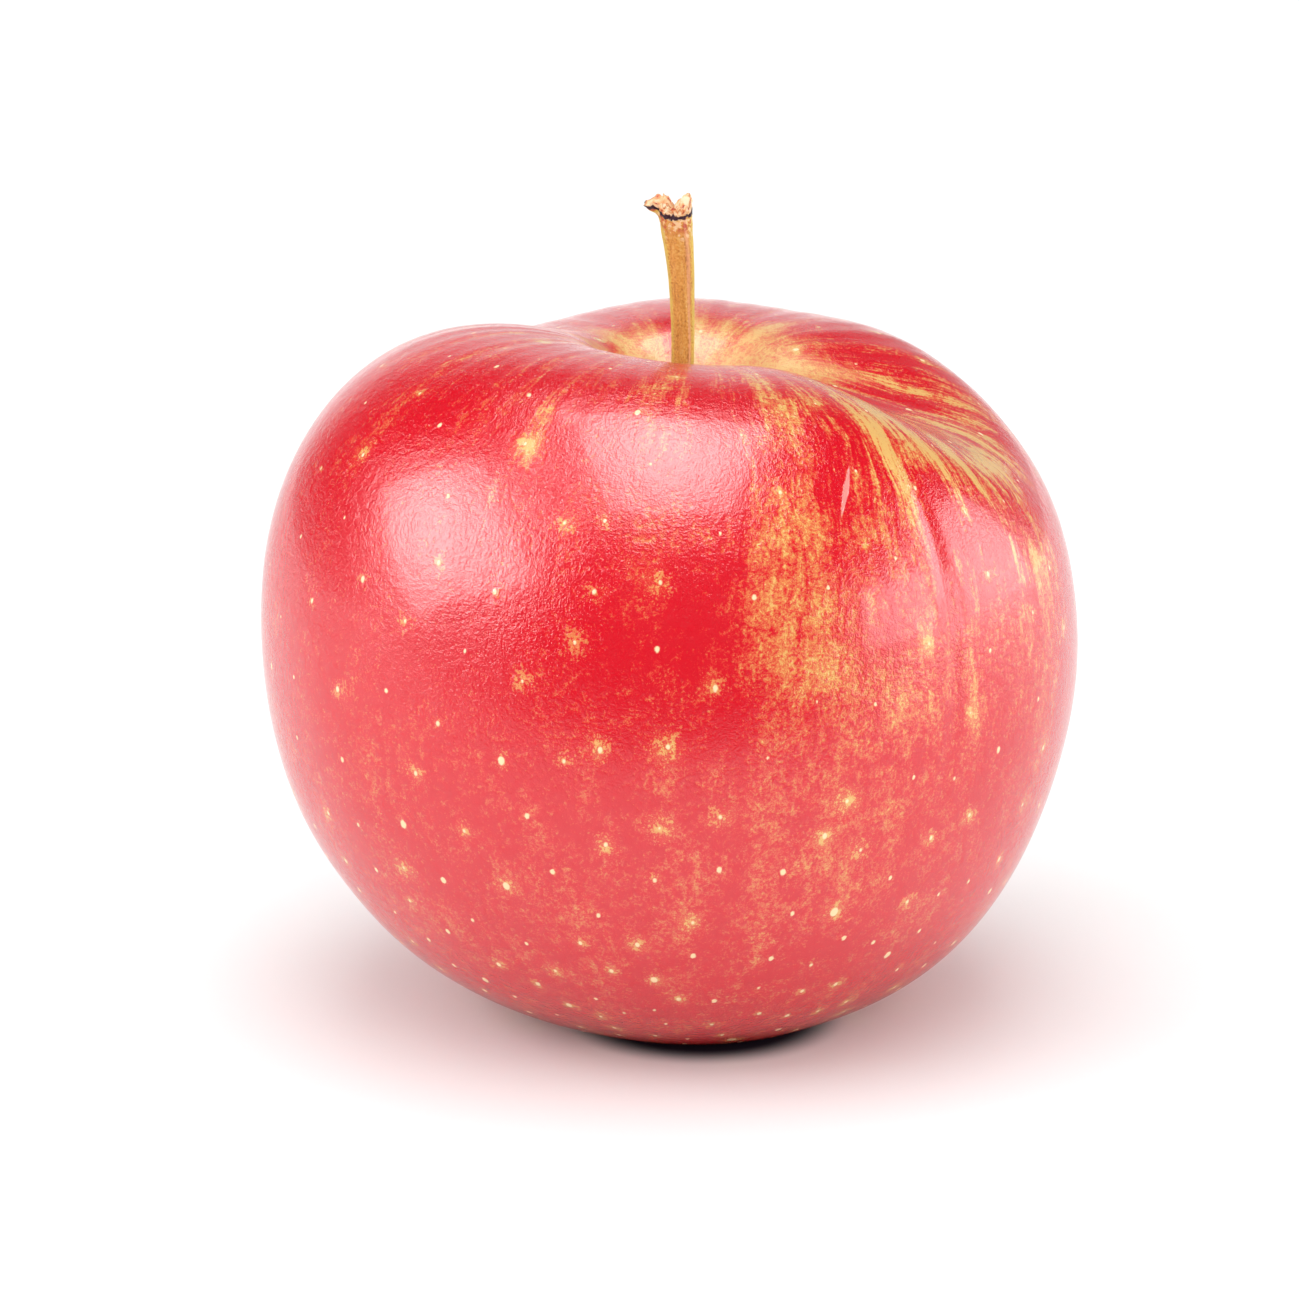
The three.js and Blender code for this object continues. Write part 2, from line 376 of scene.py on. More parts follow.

# %% [markdown]
# Blush and ground colour
# An apple reddens where the sun reaches it. The yellow ground stays bare in the shaded cavity and round
# the flower end. The blush is one number for each vertex, near 1 for full red and near 0 for bare ground.
# Its paler areas are soft patches listed one by one, because no noise would put them where they grew.

# %% Blush map
# Each patch: azimuth, polar angle, half width and half height in degrees, and how much red it takes away.
PALE_PATCHES = [
    (-74, 27, 5, 7, 0.5), (-62, 31, 6, 7, 0.6), (-50, 33, 7, 10, 0.8), (-38, 28, 8, 9, 0.75),
    (-77, 44, 4, 8, 0.65), (-68, 37, 3, 8, 0.3), (-73, 57, 6, 7, 0.52), (-74, 68, 8, 9, 0.58),
    (-69, 78, 9, 7, 0.42), (-59, 83, 10, 7, 0.28), (-58, 55, 4, 9, 0.4), (-55, 43, 7, 7, 0.4),
    (-42, 45, 8, 6, 0.5), (-33, 51, 7, 6, 0.4), (-52, 46, 2.5, 10, 0.5), (-47, 78, 7, 9, 0.3),
    (-33, 74, 10, 14, 0.5), (-28, 60, 8, 10, 0.25), (-46, 37, 14, 11, 0.25), (-16, 30, 18, 10, 0.4),
    (-94, 31, 7, 4, 0.35), (-66, 99, 12, 10, 0.22), (-75, 110, 18, 10, 0.12), (-92, 59, 12, 3, 0.2),
    (-118, 41, 3, 5, 0.6), (-117, 48, 3, 4, 0.6), (-120, 55, 2.5, 3, 0.4), (-20, 45, 13, 7, 1.1),
    (-36, 52, 28, 26, 0.22), (0, 38, 10, 7, 0.85), (6, 24, 5, 9, 0.6), (-38, 42, 6, 6, 0.45),
    (-14, 57, 9, 3.5, -0.35), (10, 30, 2, 8, -0.5), (35, 70, 22, 32, 0.5), (70, 100, 18, 28, 0.45),
    (150, 60, 12, 20, 0.3), (175, 105, 15, 20, 0.2),
]


def patch(centre_azimuth, centre_polar, half_width, half_height):
    """1 in the middle of a patch, fading like a bell in both directions."""
    turn = turn_between(azimuth, math.radians(centre_azimuth))
    fall = polar - math.radians(centre_polar)
    return bell(turn, math.radians(half_width)) * bell(fall, math.radians(half_height))


CROWN_BLUSH = 1.13
SIDE_LOSS = 0.19
SIDE_FROM = math.radians(84)
CAVITY_BLUSH = -0.02
CAVITY_EDGE = 15.5
FLOWER_END_LOSS = 0.75
FLOWER_END_FROM = math.radians(158)

blush = CROWN_BLUSH - SIDE_LOSS * soft_step(polar, SIDE_FROM, 0.07)
for *place, amount in PALE_PATCHES:
    blush -= amount * patch(*place)
ragged = 2.5 * np.sin(9 * azimuth + 1) + 1.5 * np.sin(17 * azimuth)
cavity_edge = np.radians(CAVITY_EDGE + ragged + 1.5 * np.cos(azimuth))
in_cavity = 1 - soft_step(polar, cavity_edge, 0.045)
blush = blush * (1 - in_cavity) + CAVITY_BLUSH * in_cavity
blush -= FLOWER_END_LOSS * soft_step(polar, FLOWER_END_FROM, 0.08)
give_attribute(fruit, "blush", with_poles(blush, 0, 0.1))
give_attribute(fruit, "cavity", with_poles(in_cavity, 1, 0))
print("blush:", round(blush.min(), 2), "to", round(blush.max(), 2))

# %% Where the red breaks into streaks
# Over the shoulders, most of all on the right of the front, and hardly inside the cavity.
streaky = 0.2 + 0.7 * bell(polar - 0.5, 0.4) + 1.1 * patch(-28, 48, 36, 30) + 0.4 * patch(60, 80, 60, 60)
streaky *= 1 - 0.8 * in_cavity
give_attribute(fruit, "streaky", with_poles(streaky, 0.3, 0.3))
print("streakiness:", round(streaky.min(), 2), "to", round(streaky.max(), 2))

# %% [markdown]
# Pores and flecks
# The pale dots on an apple are pores about a third of a millimetre wide. Many sit in a ragged yellow fleck
# where the red never formed. A noise can't make dots that are sparse on the girth and crowded at the foot,
# so the pores are scattered like darts that may not land too close to each other. Each vertex then stores
# the offset to its nearest pore. It changes evenly across a face, so a dot can be crisp and far smaller.

# %% Scatter the pores
# The larger flecks on the front: azimuth and polar angle in degrees, and radius in millimetres.
FRONT_FLECKS = [
    (-107, 58, 1.5), (-101, 57, 1.2), (-103, 74, 1.9), (-101, 67, 1.4), (-92, 65, 1.8),
    (-90, 87, 2.0), (-83, 97, 1.5), (-113, 91, 1.1), (-127, 95, 1.1), (-115, 110, 1.4),
    (-87, 114, 1.3), (-99, 88, 1.4), (-104, 90, 1.2), (-129, 75, 1.5), (-138, 71, 1.2),
    (-110, 80, 1.4), (-65, 96, 1.4), (-62, 104, 1.4), (-68, 101, 1.2), (-44, 86, 1.2),
    (-51, 115, 1.5), (-29, 113, 1.4), (-65, 114, 1.3), (-84, 79, 1.4), (-120, 102, 1.1),
    (-94, 126, 1.2), (-105, 119, 1.1), (-52, 75, 1.3), (-118, 47, 1.5), (-60, 131, 1.3),
]
PORE_TRIES = 7000
PORE_SIZE_LOG = -2.08
FLECK_SHRINK = 0.75


def pore_spacing(polar_angle):
    """Least distance between pores in mm, less by a soft step to the flower end and a bell at the crown."""
    return 6.2 - 3.4 * soft_step(polar_angle, 1.95, 0.2) - 1.2 * bell(polar_angle - 0.3, 0.25)


random = np.random.default_rng(20)
dart_polar = np.arccos(random.uniform(-1, 1, PORE_TRIES))
dart_azimuth = random.uniform(-math.pi, math.pi, PORE_TRIES)
placed = np.radians([place for *place, _ in FRONT_FLECKS])
dart_azimuth = np.concatenate([placed[:, 0], dart_azimuth])
dart_polar = np.concatenate([placed[:, 1], dart_polar])
darts = form_point(dart_polar, dart_azimuth)
room = pore_spacing(dart_polar)
kept = np.zeros(0, int)
for dart in range(len(darts)):
    gaps = np.linalg.norm(darts[kept] - darts[dart], axis=-1)
    if dart < len(placed) or not np.any(gaps < room[dart]):
        kept = np.append(kept, dart)
pores, pore_polar = darts[kept], dart_polar[kept]
lower_half = soft_step(pore_polar, 1.8, 0.25)
pore_size = np.exp(random.normal(PORE_SIZE_LOG, 0.32, len(pores))) * (1 + 0.6 * lower_half)
flecked = random.random(len(pores)) < 0.3 + 0.3 * lower_half
fleck_size = np.where(flecked, random.uniform(0.5, 1.2, len(pores)), 0)
fleck_size[:len(placed)] = [FLECK_SHRINK * size for _, _, size in FRONT_FLECKS]
print(len(pores), "pores,", np.count_nonzero(fleck_size), "with a fleck")

# %% Nearest pore of each vertex
nearest = np.full(azimuth.shape, np.inf)
owner = np.zeros(azimuth.shape, int)
fleck = np.zeros(azimuth.shape)
for number, pore in enumerate(pores):
    gap = np.linalg.norm(form - pore, axis=-1)
    closer = gap < nearest
    nearest[closer] = gap[closer]
    owner[closer] = number
    if fleck_size[number]:
        fleck = np.maximum(fleck, 1 - gap / (2.2 * fleck_size[number]))
offset = form - pores[owner]
east = unit(np.roll(form, -1, 1) - np.roll(form, 1, 1))
south = np.cross(east, normals)
to_pore = np.stack([(offset * east).sum(-1), (offset * south).sum(-1), pore_size[owner]], -1)
give_attribute(fruit, "to_pore", with_poles(to_pore, [9, 9, 0.2], [9, 9, 0.2]))
give_attribute(fruit, "pore_gap", with_poles(nearest, 9, 9))
give_attribute(fruit, "fleck", with_poles(fleck, 0, 0))
print("widest gap to a pore, mm:", round(nearest.max(), 1))

# %% [markdown]
# A healed scratch
# A twig rubbed this apple while it grew and left a short pale line, far finer than the faces. So it is
# stored like the pores: each vertex near it knows how far across and along it lies.

# %% Place the scratch
# Its two ends: azimuth and polar angle in degrees.
SCRATCH = np.radians([(-61.2, 47.4), (-65.0, 55.8)])

scratch_ends = form_point(SCRATCH[:, 1], SCRATCH[:, 0])
scratch_length = np.linalg.norm(scratch_ends[1] - scratch_ends[0])
scratch_way = unit(scratch_ends[1] - scratch_ends[0])
from_scratch = form - scratch_ends.mean(0)
scratch_along = from_scratch @ scratch_way
scratch_side = unit(np.cross(normals, scratch_way))
scratch_across = (from_scratch * scratch_side).sum(-1)
on_front = np.linalg.norm(from_scratch, axis=-1) < 2 * scratch_length
scratch = np.stack([scratch_across, 2 * scratch_along / scratch_length, 0 * azimuth], -1)
scratch[~on_front] = [9, 9, 0]
give_attribute(fruit, "scratch", with_poles(scratch, [9, 9, 0], [9, 9, 0]))
print("scratch length, mm:", round(float(scratch_length), 1))

# %% [markdown]
# Node helpers
# A material is a graph of small steps. With these helpers each step is one short line, so each material
# below reads like a recipe.

# %% Node helpers
def node(tree, kind, inputs=(), **settings):
    """Makes a node, sets its options, and links or sets its inputs by name or number."""
    made = tree.nodes.new(kind)
    for key, value in settings.items():
        setattr(made, key, value)
    for key, value in dict(inputs).items():
        if isinstance(value, bpy.types.NodeSocket):
            tree.links.new(value, made.inputs[key])
        else:
            made.inputs[key].default_value = value
    return made


def calc(tree, operation, first, second=0.0, third=0.0):
    """One step of arithmetic on sockets or numbers."""
    made = node(tree, "ShaderNodeMath", {0: first, 1: second, 2: third}, operation=operation)
    return made.outputs[0]


def times(tree, first, second):
    """The product of two sockets or numbers."""
    return calc(tree, "MULTIPLY", first, second)


def calm(tree, value, low, high):
    """0 at low, 1 at high and a smooth step between; where low is the larger of the two, it falls."""
    made = node(tree, "ShaderNodeMapRange", {"Value": value, "From Min": low, "From Max": high},
                interpolation_type="SMOOTHSTEP")
    return made.outputs["Result"]


def noise(tree, vector, scale, detail=2.0, stretch=(1, 1, 1), roughness=0.5):
    """Noise around 0, about -1 to 1, on a vector that may be stretched first."""
    stretched = node(tree, "ShaderNodeMapping", {"Vector": vector, "Scale": stretch})
    made = node(tree, "ShaderNodeTexNoise", {"Vector": stretched.outputs[0], "Scale": scale,
                                             "Detail": detail, "Roughness": roughness})
    return calc(tree, "MULTIPLY_ADD", made.outputs["Fac"], 4.0, -2.0)


def sum_of(tree, *terms):
    """Adds terms; each is a socket, or a socket with its weight."""
    total = 0.0
    for term in terms:
        value, weight = term if isinstance(term, tuple) else (term, 1.0)
        total = calc(tree, "MULTIPLY_ADD", value, weight, total)
    return total


def mixed(tree, noises, **weights):
    """Adds named noises, each with its weight."""
    return sum_of(tree, *[(noises[name], weight) for name, weight in weights.items()])


def tint(red, green, blue):
    """A screen colour from 0 to 255, as the linear colour that a shader takes."""
    screen = np.array([red, green, blue]) / 255
    linear = np.where(screen <= 0.04045, screen / 12.92, ((screen + 0.055) / 1.055) ** 2.4)
    return (*linear.tolist(), 1.0)


def ramp(tree, value, stops):
    """A colour for each value, blended between stops of (place, colour)."""
    made = node(tree, "ShaderNodeValToRGB", {"Fac": value})
    elements = made.color_ramp.elements
    while len(elements) < len(stops):
        elements.new(0.5)
    for element, (place, colour) in zip(elements, stops):
        element.position = place
        element.color = colour
    return made.outputs["Color"]


def layered(tree, colour, *layers):
    """Lays colours over a first one; each layer is how much it covers, and its colour."""
    for cover, layer in layers:
        made = node(tree, "ShaderNodeMix", {0: cover, 6: colour, 7: layer}, data_type="RGBA")
        colour = made.outputs[2]
    return colour


def stored(tree, name, kind="Fac"):
    """The number, or with kind "Vector" the vector, that the mesh stores for each vertex."""
    return node(tree, "ShaderNodeAttribute", attribute_name=name).outputs[kind]


def axes_of(tree, vector):
    """The X, Y and Z of a vector, by name."""
    return node(tree, "ShaderNodeSeparateXYZ", {0: vector}).outputs


def millimetres(tree):
    """The place on the object in millimetres, so that a noise's scale is in waves per millimetre."""
    place = node(tree, "ShaderNodeTexCoord").outputs["Object"]
    return node(tree, "ShaderNodeVectorMath", {0: place, "Scale": 1 / MM}, operation="SCALE").outputs[0]


def new_material(name, **shader_values):
    """A material with one Principled shader whose constant values stand on its own sockets."""
    material = bpy.data.materials.new(name)
    material.use_nodes = True
    tree = material.node_tree
    shader = tree.nodes["Principled BSDF"]
    for key, value in shader_values.items():
        shader.inputs[key.replace("_", " ")].default_value = value
    return material, tree, shader


def feed(tree, shader, **sockets):
    """Links sockets to the shader's inputs."""
    for key, socket in sockets.items():
        tree.links.new(socket, shader.inputs[key.replace("_", " ")])


def bump(tree, height):
    """Normals that lean with a height in millimetres."""
    return node(tree, "ShaderNodeBump", {"Height": height, "Distance": MM}).outputs[0]


# %% [markdown]
# The skin's finish
# Red pigment lies in single cells over a yellow ground, so where it is thin it breaks up into stipple. The
# recipe adds up how much red there is, from the blush map, streaks, mottling and grain, less the flecks. A
# colour ramp turns the sum from yellow through orange to deep red, and pores and the scratch lie over it.
# The wax is a thin smooth coat over a rougher skin: its highlights have a clear shape and a soft edge.

# %% Noises of the skin
def skin_noises(tree):
    """Noise of each size: streaks are drawn out from pole to pole and sway, the rest is even."""
    roll = stored(tree, "skin_map", "Vector")
    space = millimetres(tree)
    sway = node(tree, "ShaderNodeTexNoise", {"Vector": roll, "Scale": 0.11, "Detail": 1.0})
    swayed = node(tree, "ShaderNodeVectorMath", {0: sway.outputs["Color"], 1: (4, 4, 4), 2: roll},
                  operation="MULTIPLY_ADD").outputs[0]
    return {
        "broad": noise(tree, swayed, 0.3, 2.0, (1, 1, 0.1)),
        "fine": noise(tree, swayed, 1.1, 2.0, (1, 1, 0.09)),
        "hair": noise(tree, swayed, 2.6, 2.0, (1, 1, 0.1)),
        "mottle": noise(tree, space, 0.22, 3.0),
        "clump": noise(tree, space, 1.0, 3.0, roughness=0.6),
        "stipple": noise(tree, space, 3.2, 2.0, roughness=0.6),
        "grain": noise(tree, space, 8.0, 1.0),
    }


# %% How red the skin is
def redness(tree, noises, cavity):
    """The blush map, plus streaks where they belong, plus stipple that fades in the cavity, less flecks."""
    stroke = calm(tree, mixed(tree, noises, broad=1.0, hair=0.35), -0.35, 0.4)
    streaks = sum_of(tree, (stroke, 0.5), mixed(tree, noises, broad=0.2, fine=0.36, hair=0.16))
    streaks = times(tree, calc(tree, "SUBTRACT", streaks, 0.25), stored(tree, "streaky"))
    fleck_map = stored(tree, "fleck")
    torn = sum_of(tree, fleck_map, mixed(tree, noises, clump=0.55, stipple=0.6, grain=0.2, hair=0.15))
    fleck = times(tree, calm(tree, torn, 0.45, 1.1), calm(tree, fleck_map, 0.02, 0.3))
    texture = mixed(tree, noises, mottle=0.22, clump=0.33, stipple=0.4, grain=0.22)
    texture = times(tree, texture, calc(tree, "MULTIPLY_ADD", cavity, -0.45, 1.0))
    return sum_of(tree, stored(tree, "blush"), streaks, texture, (fleck, -1.1))


# %% Pores and scratch on the skin
def pore_mask(tree, noises):
    """1 in the nearest pore: the length of the stored offset, made ragged, against the pore's radius."""
    pore = axes_of(tree, stored(tree, "to_pore", "Vector"))
    across = calc(tree, "POWER", pore["X"], 2.0)
    down = calc(tree, "POWER", times(tree, pore["Y"], 0.75), 2.0)
    distance = calc(tree, "SQRT", calc(tree, "ADD", across, down))
    ragged = sum_of(tree, distance, mixed(tree, noises, stipple=0.05, clump=0.05))
    from_edge = calc(tree, "SUBTRACT", ragged, pore["Z"])
    near_pore = calm(tree, stored(tree, "pore_gap"), 1.1, 0.9)
    return times(tree, calm(tree, from_edge, 0.1, -0.06), near_pore)


def scratch_mask(tree, noises):
    """1 on the scratch, whose width tapers evenly from its middle to both ends."""
    place = axes_of(tree, stored(tree, "scratch", "Vector"))
    wide = calc(tree, "ABSOLUTE", sum_of(tree, place["X"], (noises["clump"], 0.05)))
    long = calc(tree, "ABSOLUTE", place["Y"])
    taper = calc(tree, "MULTIPLY_ADD", long, 0.25, wide)
    return times(tree, calm(tree, taper, 0.38, 0.2), calm(tree, long, 1.05, 0.8))


# %% Apple skin
SKIN_COLOURS = [
    (0.0, tint(214, 168, 98)),
    (0.17, tint(212, 140, 78)),
    (0.4, tint(209, 108, 66)),
    (0.62, tint(206, 72, 52)),
    (0.8, tint(204, 40, 39)),
    (0.92, tint(202, 22, 34)),
    (1.0, tint(198, 12, 30)),
]
PORE_COLOUR = tint(232, 204, 156)
SCRATCH_COLOUR = tint(214, 130, 120)


def skin_finish():
    """Waxy skin: a ramp turns redness into colour, and the pores and the scratch lie over it."""
    material, tree, shader = new_material("waxy_apple_skin", IOR=1.62, Coat_Weight=0.3, Coat_Roughness=0.1,
                                          Coat_IOR=1.5, Specular_IOR_Level=0.5)
    noises = skin_noises(tree)
    cavity = stored(tree, "cavity")
    in_pore = pore_mask(tree, noises)
    in_scratch = scratch_mask(tree, noises)
    colour = ramp(tree, redness(tree, noises, cavity), SKIN_COLOURS)
    colour = layered(tree, colour, (in_pore, PORE_COLOUR), (in_scratch, SCRATCH_COLOUR))
    rough = sum_of(tree, mixed(tree, noises, clump=0.03, stipple=0.03), (in_pore, 0.2),
                   (in_scratch, 0.15), (cavity, 0.35), 0.15)
    height = sum_of(tree, mixed(tree, noises, clump=0.024, stipple=0.016, grain=0.006, hair=0.005),
                    (in_pore, 0.035), (in_scratch, 0.04))
    feed(tree, shader, Base_Color=colour, Roughness=rough, Normal=bump(tree, height))
    return material


finish_piece(fruit, "apple_skin", skin_finish(), "fruit")

# %% [markdown]
# The stem
# The stem is a dry, slightly flattened twig. It is thinnest just above the cavity, widens upwards, and
# ends where it broke off the branch: a spur points to the left under a thick torn lip, a nub stands up
# on the right, and the wood between them has sunk in. It could be a bevelled curve, but a curve can't be
# torn. Here it is a ring of points carried along a path, with bark ridges as waves in the radius and the
# tear as a height for each direction of the last rings.

# %% Stem route
STEM_ROUTE = np.array([
    [0.65, 0.1, 46.5], [0.65, 0.1, 53], [1.1, 0.05, 59], [1.5, 0, 65],
    [1.45, 0, 70], [1.25, 0, 74.8], [0.78, 0, 78.8], [0.62, 0, 80.3],
])
STEM_RADII = np.array([1.9, 1.5, 1.12, 1.03, 1.09, 1.25, 1.5, 1.58])
STEM_SIDES = 128
STEM_RINGS = 190
CAP_RINGS = 22
HOLLOW_DEPTH = 0.7


def smooth_route(knots, share):
    """A curve through the knots (Catmull-Rom): each stretch is a cubic of its four nearest knots."""
    knots = np.concatenate([2 * knots[:1] - knots[1:2], knots, 2 * knots[-1:] - knots[-2:-1]])
    place = share * (len(knots) - 3)
    start = np.minimum(place.astype(int), len(knots) - 4)
    part = (place - start).reshape(-1, *[1] * (knots.ndim - 1))
    before, here, there, after = (knots[start + step] for step in range(4))
    curve = 2 * here + (there - before) * part + (2 * before - 5 * here + 4 * there - after) * part ** 2
    return 0.5 * (curve + (3 * here - before - 3 * there + after) * part ** 3)


print("top of the stem's route, mm:", STEM_ROUTE[-1, 2])

# %% Bark and tear
def bark_waves(turn, share):
    """Fibres along the stem: sine waves round it, in shares of the radius, that wander on the way up."""
    drift = 0.6 * np.sin(3.1 * share) + 0.25 * np.sin(11 * share)
    fibres = 0.03 * np.sin(5 * (turn + drift)) + 0.022 * np.sin(11 * (turn + drift) + 4 * share)
    knots = 0.02 * np.sin(3 * turn + 22 * share) + 0.012 * np.sin(23 * turn + 40 * share)
    return 1 + fibres + knots


def block(angle, half_width):
    """A bump with a flat top and steep sides: e to the power of minus (angle / half width)^4."""
    return np.exp(-(angle / half_width) ** 4)


def tear_height(turn):
    """How far the broken end stands up, in mm: a nub on the right, a lip at the back left, splinters."""
    nub = 1.0 * block(turn_between(turn, math.radians(6)), 0.5)
    lip = 0.85 * block(turn_between(turn, math.radians(138)), 0.6)
    front = 0.25 * block(turn_between(turn, math.radians(-140)), 0.7)
    splinters = 0.09 * np.sin(7 * turn + 1) + 0.09 * np.sin(15 * turn) + 0.07 * np.sin(31 * turn + 2)
    return nub + lip + front + splinters - 0.32


# %% Build the stem
stem_turn = 2 * math.pi * np.arange(STEM_SIDES) / STEM_SIDES
stem_share = np.linspace(1, 0, STEM_RINGS)
stem_centre = smooth_route(STEM_ROUTE, stem_share)[:, None]
stem_radius = smooth_route(STEM_RADII, stem_share)[:, None]
turn, rise = np.meshgrid(stem_turn, stem_share)
level = stem_centre[..., 2] + 0 * turn
below_end = STEM_ROUTE[-1, 2] - level
torn = bell(below_end, 0.9)
crumbs = np.sin(8 * turn + 6 * level) + np.sin(13 * turn - 8 * level) + np.sin(24 * turn + 9 * level)
spur = 1.15 * bell(turn_between(turn, math.pi), 0.3) * bell(below_end, 0.8)
radius = stem_radius * bark_waves(turn, rise) + spur + 0.065 * crumbs * bell(below_end, 0.7)
stem_points = stem_centre + np.stack([
    radius * 1.05 * np.cos(turn),
    radius * 0.95 * np.sin(turn),
    tear_height(turn) * torn,
], -1)

inward = np.linspace(0.06, 0.94, CAP_RINGS)[:, None]
rim = stem_points[0]
hollow = rim.mean(0) - [0, 0, HOLLOW_DEPTH]
cap_rough = 0.13 * np.sin(6 * stem_turn + 8 * inward) + 0.1 * np.sin(12 * stem_turn - 11 * inward)
sink = (inward ** 2)[..., None]
cap = rim + (hollow - rim) * np.concatenate([inward[..., None]] * 2 + [sink], -1)
cap[..., 2] += cap_rough * np.sin(math.pi * inward)
stem_rings = np.concatenate([cap[::-1], stem_points]) + shift
stem = body_from_rings("torn_stem", stem_rings, hollow + shift, stem_rings[-1].mean(0))
stem_low, stem_high = (np.array(corner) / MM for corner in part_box("stem"))
print("stem top against packed top, mm:", round(stem_rings[..., 2].max() - stem_high[2], 2))

# %% Map of the bark
# Each vertex carries its height over the seal, the dark line under the break, and a place on the bark.
SEAL_LEVEL = 79.05

seal_level = SEAL_LEVEL + 0.95 * bell(turn_between(turn, math.pi), 0.5)
over_seal = np.concatenate([np.full((CAP_RINGS, STEM_SIDES), 2.0), level - seal_level])
give_attribute(stem, "over_seal", with_poles(over_seal, 2, -30))
around = np.concatenate([np.tile(stem_turn, (CAP_RINGS, 1)), turn])
climb = np.concatenate([level[:1] + 0.6 * (1 - inward[::-1]) + 0 * stem_turn + 1, level])
narrow = np.concatenate([1 - inward[::-1] + 0 * stem_turn, np.ones_like(level)])
wound = np.stack([1.4 * narrow * np.cos(around), 1.4 * narrow * np.sin(around), climb], -1)
give_attribute(stem, "bark_map", with_poles(wound, [0, 0, 82], [0, 0, 47]))
print("seal over the foot, mm:", round(seal_level.min(), 1), "to", round(seal_level.max(), 1))

# %% [markdown]
# Bark
# Dry stem bark is golden brown and grained along its length; here its left and right sides are painted a
# lighter green-gold. Under the break is a dark line where the stem had begun to seal itself off, with red
# stains and bleached spots below it. The broken wood above is pale with rusty chips. Each is a layer with
# its own mask, laid on as a painter would.

# %% Layers of the bark
def bark_layers(tree, noises, sideways):
    """Green-gold on both edges, a pink ridge on the right, and dark specks."""
    speck = noises["speck"]
    edge = calm(tree, sum_of(tree, calc(tree, "ABSOLUTE", sideways), (speck, 0.15)), 0.95, 1.3)
    off_ridge = calc(tree, "ABSOLUTE", calc(tree, "SUBTRACT", sum_of(tree, sideways, (speck, 0.08)), 0.82))
    return [
        (times(tree, edge, 0.7), tint(206, 186, 84)),
        (times(tree, calm(tree, off_ridge, 0.25, 0.05), 0.55), tint(220, 160, 126)),
        (times(tree, calm(tree, speck, 0.75, 1.1), 0.6), tint(116, 66, 34)),
    ]


def break_layers(tree, noises, over_seal, in_seal):
    """Red stains and bleached spots below the seal, the dark seal, and broken wood above it."""
    drops = mixed(tree, noises, smudge=1.0, speck=0.4)
    stained = times(tree, calm(tree, over_seal, -1.9, -0.8), calm(tree, drops, 0.08, 0.3))
    bleached = times(tree, calm(tree, over_seal, -2.6, -1.6), calm(tree, drops, -0.15, -0.4))
    chips = calc(tree, "ADD", mixed(tree, noises, speck=0.4, smudge=0.7), 0.5)
    broken_wood = ramp(tree, chips, [
        (0.0, tint(176, 62, 46)),
        (0.3, tint(216, 136, 80)),
        (0.6, tint(224, 182, 132)),
        (1.0, tint(234, 208, 174)),
    ])
    return [
        (times(tree, stained, 0.85), tint(176, 58, 48)),
        (times(tree, bleached, 0.7), tint(228, 198, 160)),
        (in_seal, tint(46, 14, 34)),
        (calm(tree, over_seal, 0.32, 0.46), broken_wood),
    ]


# %% Stem bark
def stem_finish():
    """Matt bark: golden brown grain, with the layers of the bark and of the break over it."""
    material, tree, shader = new_material("dry_stem_bark", Specular_IOR_Level=0.35)
    bark = stored(tree, "bark_map", "Vector")
    noises = {
        "fibre": noise(tree, bark, 3.5, 3.0, (1, 1, 0.1)),
        "blotch": noise(tree, bark, 0.9, 2.0, (1, 1, 0.5)),
        "speck": noise(tree, bark, 4.5, 3.0),
        "smudge": noise(tree, bark, 1.9, 2.0),
    }
    grain = mixed(tree, noises, fibre=0.16, blotch=0.12, speck=0.34)
    colour = ramp(tree, calc(tree, "ADD", grain, 0.5), [
        (0.0, tint(140, 84, 34)),
        (0.3, tint(184, 120, 46)),
        (0.55, tint(204, 142, 62)),
        (0.8, tint(210, 160, 84)),
        (1.0, tint(224, 186, 128)),
    ])
    sideways = axes_of(tree, bark)["X"]
    uneven = mixed(tree, noises, blotch=0.2, speck=0.14, fibre=0.1)
    over_seal = calc(tree, "ADD", stored(tree, "over_seal"), uneven)
    in_seal = times(tree, calm(tree, over_seal, -0.12, 0.0), calm(tree, over_seal, 0.44, 0.3))
    colour = layered(tree, colour, *bark_layers(tree, noises, sideways),
                     *break_layers(tree, noises, over_seal, in_seal))
    rough = calc(tree, "MULTIPLY_ADD", noises["fibre"], 0.08, 0.62)
    height = sum_of(tree, mixed(tree, noises, fibre=0.05, speck=0.03), (in_seal, -0.1))
    feed(tree, shader, Base_Color=colour, Roughness=rough, Normal=bump(tree, height))
    return material


finish_piece(stem, "stem_bark", stem_finish(), "stem")

# %% [markdown]
# The dried flower
# Under the apple five sepals still stand round the place of the flower. They have dried to thin, downy
# blades that lean together and curl out at their tips. Inside them a tuft of stamens is left. Each
# sepal is a flat ring carried along its own curve, each stamen a thread with a small knob at its end.

# %% Sepals
SEPAL_FLARES = [3.3, 2.4, 3.8, 2.8, 3.4]
SEPAL_SEAT = 5.6
SEPAL_DROP = 4.9
flower_axis = form_point(np.array([math.pi]), np.zeros(1))[0] + shift


